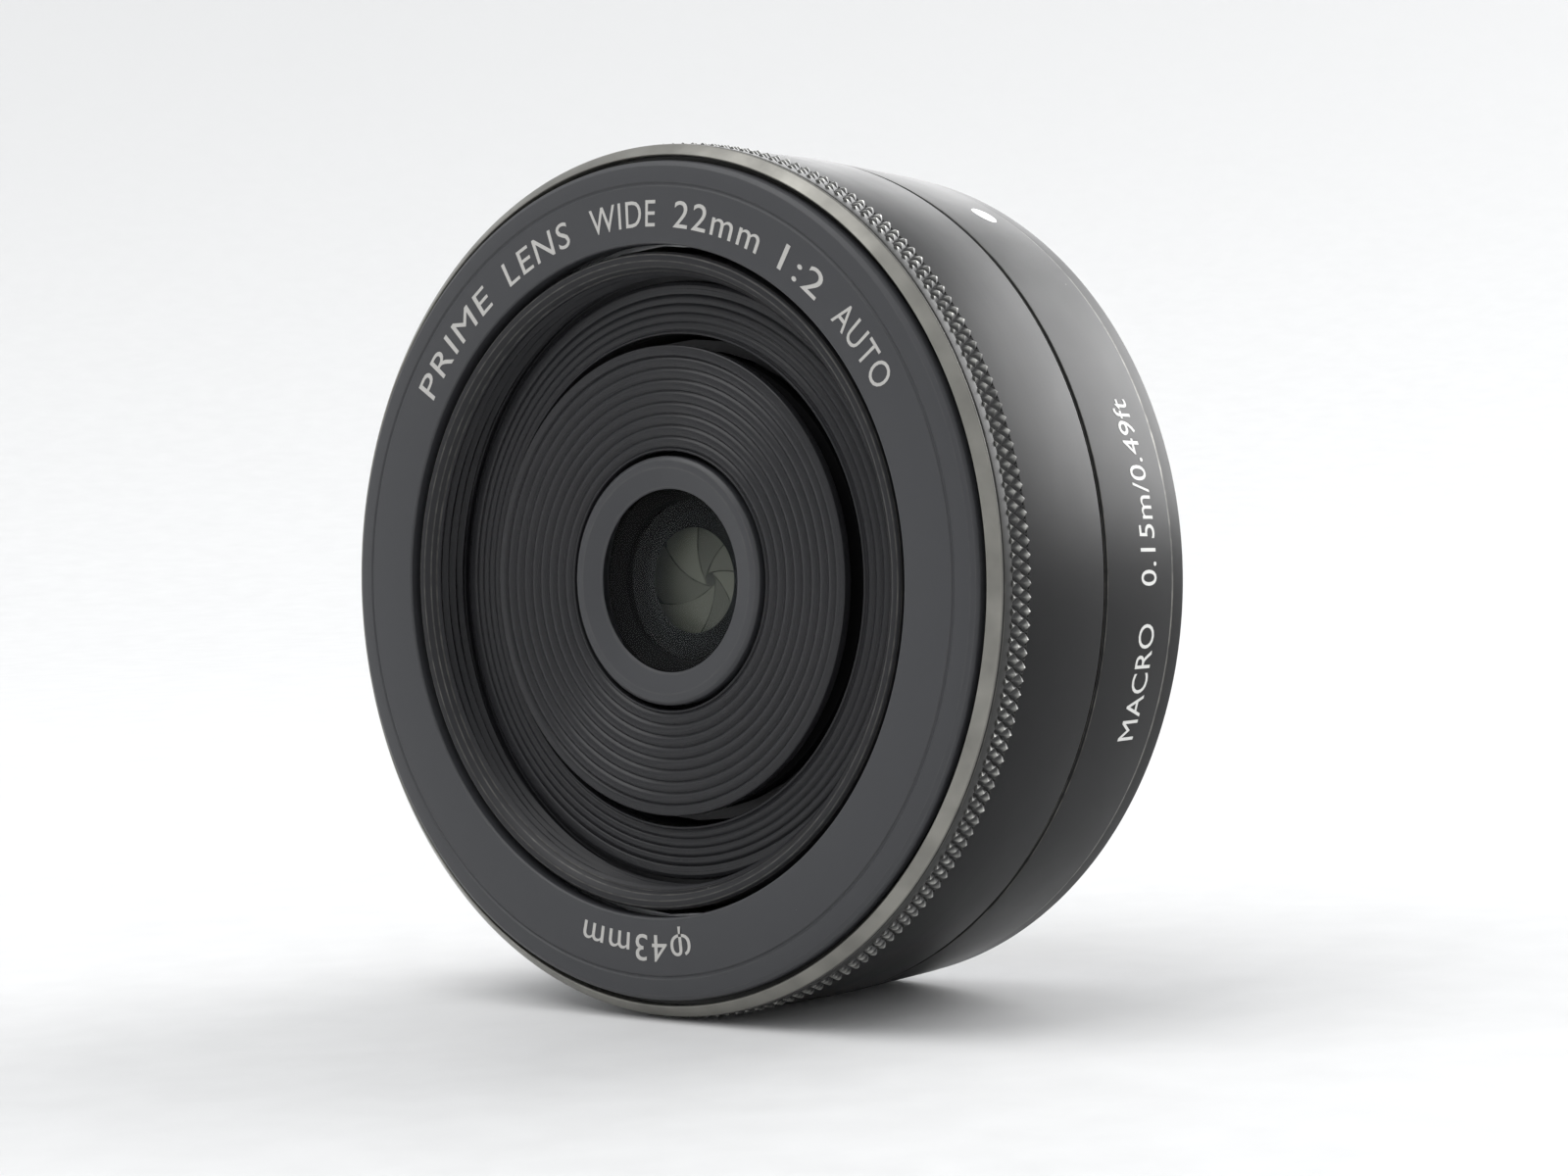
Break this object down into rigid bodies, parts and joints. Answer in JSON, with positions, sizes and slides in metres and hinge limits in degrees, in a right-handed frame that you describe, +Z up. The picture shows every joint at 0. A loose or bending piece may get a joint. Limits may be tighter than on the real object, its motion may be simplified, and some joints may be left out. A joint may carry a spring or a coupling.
{
  "type": "prime camera lens",
  "caption": "Compact prime lens for a mirrorless camera, with a turning focus ring, a sliding optical unit, a closing iris and a bayonet mount.",
  "frame": {"origin": "centre of the mount flange plane, on the optical axis", "axes": "+Y along the optical axis from the front glass to the camera; +Z up, the way the front lettering reads; +X to the right as seen from the front"},
  "size_m": [0.0608, 0.0283, 0.0608],
  "materials": {
    "satin_black": "satin black anodised barrel",
    "ring_black": "black anodised knurled ring with a lighter turned lip",
    "face_black": "fine matt charcoal front face",
    "barrel_black": "black anodised moving barrel with a filter thread",
    "disc_black": "satin black disc with turned grooves",
    "collar_black": "satin black retaining collar",
    "matt_black": "matt black light-absorbing plastic",
    "plastic_black": "fine-grained black plastic",
    "white_mark": "white index mark",
    "mount_metal": "plated mount metal, turned",
    "steel": "plain steel",
    "motor_can": "drawn motor can",
    "aluminium": "turned aluminium",
    "brass": "cut brass gear",
    "gold_contact": "gold-plated contact",
    "board": "green solder-resist board",
    "nylon": "natural nylon",
    "blade_grey": "thin olive-grey iris sheet",
    "coated_glass": "coated optical glass"
  },
  "bodies": {
    "fixed_barrel": {"mount_ring": "mount_metal", "mount_screw_1": "steel", "mount_screw_2": "steel", "mount_screw_3": "steel", "mount_screw_4": "steel", "rear_barrel": "satin_black", "index_dot": "white_mark", "main_barrel": "plastic_black", "ring_sensor": "plastic_black", "name_ring": "face_black", "guide_sleeve": "aluminium", "rear_baffle": "matt_black", "contact_block": "plastic_black", "contact_pin_1": "gold_contact", "contact_pin_2": "gold_contact", "contact_pin_3": "gold_contact", "contact_pin_4": "gold_contact", "contact_pin_5": "gold_contact", "contact_pin_6": "gold_contact", "contact_pin_7": "gold_contact", "contact_pin_8": "gold_contact", "contact_pin_9": "gold_contact", "circuit_board": "board", "gear_bracket": "aluminium", "focus_motor": "motor_can", "idler_pin": "steel"},
    "focus_ring": {"focus_ring": "ring_black"},
    "cam_ring": {"cam_ring": "aluminium"},
    "idler_gear": {"idler_gear": "nylon"},
    "motor_pinion": {"motor_pinion": "brass"},
    "optical_unit": {"front_barrel": "barrel_black", "light_trap": "matt_black", "front_disc": "disc_black", "front_collar": "collar_black", "cam_follower_1": "steel", "cam_follower_2": "steel", "cam_follower_3": "steel", "unit_housing": "plastic_black", "front_cell": "matt_black", "rear_cell": "matt_black", "rear_retainer": "matt_black", "lens_element_1": "coated_glass", "lens_element_2": "coated_glass", "lens_element_3": "coated_glass", "lens_element_4": "coated_glass", "lens_element_5": "coated_glass", "lens_element_6": "coated_glass", "lens_element_7": "coated_glass", "iris_base": "plastic_black", "iris_motor": "motor_can"},
    "iris_drive_ring": {"iris_drive_ring": "plastic_black"},
    "iris_pinion": {"iris_pinion": "brass"},
    "iris_blade_1": {"iris_blade_1": "blade_grey"},
    "iris_blade_2": {"iris_blade_2": "blade_grey"},
    "iris_blade_3": {"iris_blade_3": "blade_grey"},
    "iris_blade_4": {"iris_blade_4": "blade_grey"},
    "iris_blade_5": {"iris_blade_5": "blade_grey"},
    "iris_blade_6": {"iris_blade_6": "blade_grey"},
    "iris_blade_7": {"iris_blade_7": "blade_grey"}
  },
  "joints": [
    {"name": "focus_ring_turn", "type": "hinge", "parent": "fixed_barrel", "child": "focus_ring", "pos_m": [0, -0.017, 0], "axis": [0, 1, 0], "continuous": true},
    {"name": "cam_turn", "type": "hinge", "parent": "fixed_barrel", "child": "cam_ring", "pos_m": [0, -0.012, 0], "axis": [0, 1, 0], "range_deg": [0, 92]},
    {"name": "focus_slide", "type": "slide", "parent": "fixed_barrel", "child": "optical_unit", "axis": [0, -1, 0], "range_m": [0, 0.0046]},
    {"name": "idler_turn", "type": "hinge", "parent": "fixed_barrel", "child": "idler_gear", "pos_m": [0.01, -0.0052, 0.01732], "axis": [0, 1, 0], "range_deg": [0, 552]},
    {"name": "motor_turn", "type": "hinge", "parent": "fixed_barrel", "child": "motor_pinion", "pos_m": [0.01311, -0.0052, 0.01219], "axis": [0, 1, 0], "range_deg": [-1104, 0]},
    {"name": "iris_turn", "type": "hinge", "parent": "optical_unit", "child": "iris_drive_ring", "pos_m": [0, -0.0176, 0], "axis": [0, 1, 0], "range_deg": [0, 30]},
    {"name": "iris_motor_turn", "type": "hinge", "parent": "optical_unit", "child": "iris_pinion", "pos_m": [-0.01316, -0.0176, -0.00479], "axis": [0, 1, 0], "range_deg": [-232.5, 0]},
    {"name": "blade_1_swing", "type": "hinge", "parent": "optical_unit", "child": "iris_blade_1", "pos_m": [0.0092, -0.0158, 0], "axis": [0, 1, 0], "range_deg": [0, 30]},
    {"name": "blade_2_swing", "type": "hinge", "parent": "optical_unit", "child": "iris_blade_2", "pos_m": [0.00574, -0.01602, 0.00719], "axis": [0, 1, 0], "range_deg": [0, 30]},
    {"name": "blade_3_swing", "type": "hinge", "parent": "optical_unit", "child": "iris_blade_3", "pos_m": [-0.00205, -0.01624, 0.00897], "axis": [0, 1, 0], "range_deg": [0, 30]},
    {"name": "blade_4_swing", "type": "hinge", "parent": "optical_unit", "child": "iris_blade_4", "pos_m": [-0.00829, -0.01646, 0.00399], "axis": [0, 1, 0], "range_deg": [0, 30]},
    {"name": "blade_5_swing", "type": "hinge", "parent": "optical_unit", "child": "iris_blade_5", "pos_m": [-0.00829, -0.01668, -0.00399], "axis": [0, 1, 0], "range_deg": [0, 30]},
    {"name": "blade_6_swing", "type": "hinge", "parent": "optical_unit", "child": "iris_blade_6", "pos_m": [-0.00205, -0.0169, -0.00897], "axis": [0, 1, 0], "range_deg": [0, 30]},
    {"name": "blade_7_swing", "type": "hinge", "parent": "optical_unit", "child": "iris_blade_7", "pos_m": [0.00574, -0.01712, -0.00719], "axis": [0, 1, 0], "range_deg": [0, 30]}
  ],
  "couplings": [
    {"joint": "focus_slide", "follows": "cam_turn", "m_per_rad": 0.0028648},
    {"joint": "idler_turn", "follows": "cam_turn", "ratio": 6},
    {"joint": "motor_turn", "follows": "cam_turn", "ratio": -12},
    {"joint": "iris_motor_turn", "follows": "iris_turn", "ratio": -7.75},
    {"joint": "blade_1_swing", "follows": "iris_turn", "ratio": 1},
    {"joint": "blade_2_swing", "follows": "iris_turn", "ratio": 1},
    {"joint": "blade_3_swing", "follows": "iris_turn", "ratio": 1},
    {"joint": "blade_4_swing", "follows": "iris_turn", "ratio": 1},
    {"joint": "blade_5_swing", "follows": "iris_turn", "ratio": 1},
    {"joint": "blade_6_swing", "follows": "iris_turn", "ratio": 1},
    {"joint": "blade_7_swing", "follows": "iris_turn", "ratio": 1}
  ]
}
